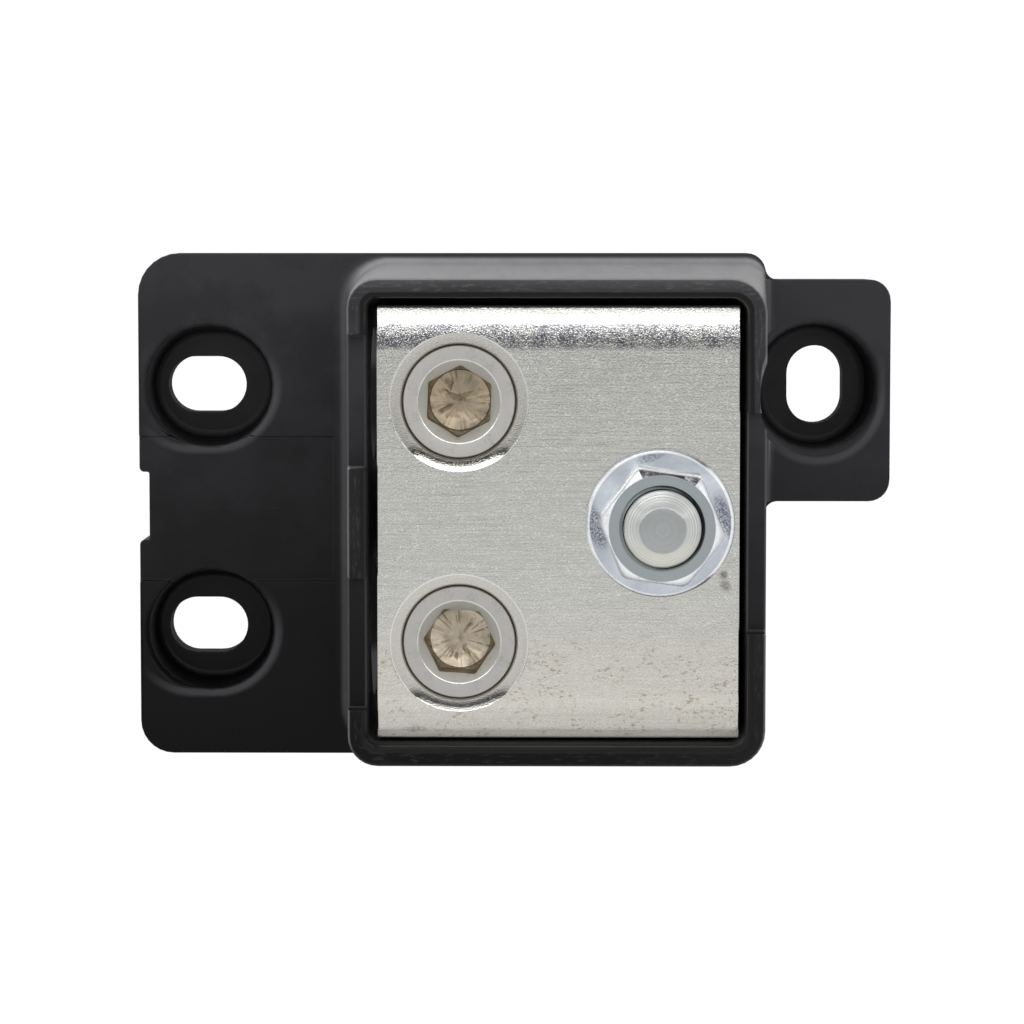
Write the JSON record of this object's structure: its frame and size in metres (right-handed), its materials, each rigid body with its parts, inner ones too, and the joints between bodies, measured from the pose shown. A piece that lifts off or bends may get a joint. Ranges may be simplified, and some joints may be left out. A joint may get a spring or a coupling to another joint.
{
  "type": "stud type fuse block",
  "caption": "Fuse block end: moulded base with dished slotted holes, tin-plated double wire lug with socket set screws, and a fuse stud with flange nut.",
  "frame": {"origin": "centre of the mounting face's bounding rectangle, on the panel", "axes": "+X along the block from the wire side to the ear, +Y across it towards the ear's edge, +Z out of the panel"},
  "size_m": [0.1, 0.0668, 0.0522],
  "materials": {
    "moulding": "satin",
    "tinned_lug": "satin",
    "wire_screw": "satin",
    "zinc_stud": "satin",
    "zinc_nut": "satin",
    "zinc_screw": "satin",
    "spring_steel": "satin"
  },
  "bodies": {
    "block": {"base_housing": "moulding", "terminal_lug": "tinned_lug", "fuse_stud": "zinc_stud", "lug_screw_left": "zinc_screw", "lug_screw_right": "zinc_screw", "lock_washer_left": "spring_steel", "lock_washer_right": "spring_steel"},
    "upper_screw": {"wire_screw_upper": "wire_screw"},
    "lower_screw": {"wire_screw_lower": "wire_screw"},
    "nut": {"flange_nut": "zinc_nut"}
  },
  "joints": [
    {"name": "upper_screw_travel", "type": "slide", "parent": "block", "child": "upper_screw", "axis": [0, 0, 1], "range_m": [-0.006, 0.008]},
    {"name": "lower_screw_travel", "type": "slide", "parent": "block", "child": "lower_screw", "axis": [0, 0, 1], "range_m": [-0.006, 0.008]},
    {"name": "nut_travel", "type": "slide", "parent": "block", "child": "nut", "axis": [0, 0, 1], "range_m": [0, 0.01]}
  ]
}
